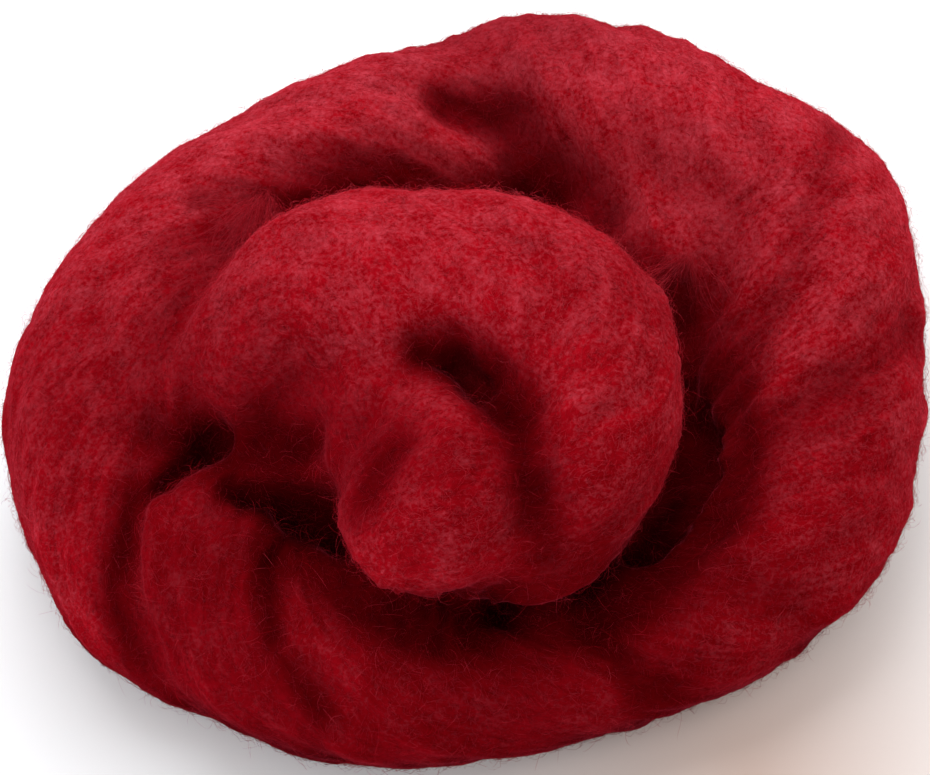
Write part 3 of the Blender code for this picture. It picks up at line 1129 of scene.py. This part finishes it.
# White paper with a faint grain. The little light that it gives off stands in for the room's.
WHITE, WHITER = (0.91, 0.93, 0.955, 1.0), (0.95, 0.96, 0.98, 1.0)
GRAIN = (900.0, 3.0, 0.6)
PAPER_GLOW, GLOW_STRENGTH = (0.90, 0.96, 1.0, 1.0), 0.10
# At the front right it has a painted warm shadow and a painted red glow, as thrown back by the
# wool, strongest here, which fades over this distance.
PAINTED_SHADOW_PLACE = (0.048, -0.070, 0.0)
PAINTED_SHADOW_REACH = 0.065
PAINTED_WARM_SHADOW, PAINTED_WARM_GLOW = (0.67, 0.51, 0.445, 1.0), (0.5, 0.4, 0.35, 1.0)
MOST_PAINTED_SHADOW = 0.9


def floor_finish():
    paper = Finish("white paper")
    around = paper.node("ShaderNodeTexCoord", out="Object")
    grain = paper.noise(around, *GRAIN)
    away = paper.node(
        "ShaderNodeVectorMath", {"operation": "DISTANCE"}, {0: around, 1: PAINTED_SHADOW_PLACE}, out="Value"
    )
    # Painted shadow and painted glow on the paper at the front right.
    painted_shadow = (1.0 - away / PAINTED_SHADOW_REACH).clipped()
    paper.shade(
        Base_Color=paper.blended(painted_shadow * MOST_PAINTED_SHADOW, paper.blended(grain, WHITE, WHITER), PAINTED_WARM_SHADOW),
        Emission_Color=paper.blended(painted_shadow, PAPER_GLOW, PAINTED_WARM_GLOW),
        Emission_Strength=GLOW_STRENGTH,
        Roughness=0.9,
    )
    return paper.material


def make_floor():
    places = np.array(((-1, -1, 0), (1, -1, 0), (1, 1, 0), (-1, 1, 0))) * FLOOR_REACH
    floor = thing_from("floor", mesh_from("floor", places, np.array(((0, 1, 2, 3),))))
    floor.data.materials.append(floor_finish())


def make_camera():
    data = bpy.data.cameras.new("camera")
    camera = thing_from("camera", data)
    back = Vector((0, -np.cos(CAMERA_ELEVATION), np.sin(CAMERA_ELEVATION)))
    camera.location = CAMERA_TARGET + back * CAMERA_DISTANCE
    camera.rotation_euler = (np.pi / 2 - CAMERA_ELEVATION, 0, 0)
    data.sensor_width = 36
    data.lens = data.sensor_width * CAMERA_DISTANCE / (PICTURE_WIDTH * PIXEL)
    data.clip_start, data.clip_end = 0.01, 20
    bpy.context.scene.camera = camera


Lamp = namedtuple("Lamp", "name place size power colour")
LAMPS = (
    Lamp("window on the left", (-0.60, 0.16, 0.36), 0.5, 1.2, (0.91, 0.96, 1.0)),
    Lamp("window behind", (0.15, 0.56, 0.41), 0.6, 2.3, (0.96, 0.98, 1.0)),
    Lamp("sky over the back", (-0.14, 0.27, 0.50), 0.45, 1.95, (0.96, 0.98, 1.0)),
    Lamp("room on the right", (0.60, 0.16, 0.36), 0.5, 2.2, (1.0, 0.95, 0.90)),
    Lamp("ceiling in front", (-0.03, -0.40, 0.69), 0.6, 0.6, (1.0, 0.92, 0.86)),
    Lamp("glow from the lower left", (-0.46, -0.42, 0.13), 0.5, 2.8, (0.90, 0.95, 1.0)),
)
LAMP_TARGET = Vector((0, 0, 0.02))
ROOM_COLOUR = (1.0, 0.85, 0.75, 1)
ROOM_STRENGTH = 0.24


def light_studio():
    for lamp in LAMPS:
        data = bpy.data.lights.new(lamp.name, "AREA")
        data.energy, data.size, data.color = lamp.power, lamp.size, lamp.colour
        light = thing_from(lamp.name, data)
        light.location = lamp.place
        aim = LAMP_TARGET - Vector(lamp.place)
        light.rotation_euler = aim.to_track_quat("-Z", "Y").to_euler()
    world = bpy.data.worlds.new("room")
    world.use_nodes = True
    world.node_tree.nodes["Background"].inputs["Color"].default_value = ROOM_COLOUR
    world.node_tree.nodes["Background"].inputs["Strength"].default_value = ROOM_STRENGTH
    bpy.context.scene.world = world
    bpy.context.scene.view_settings.view_transform = "Standard"


make_camera()
light_studio()
make_floor()
make_nest()
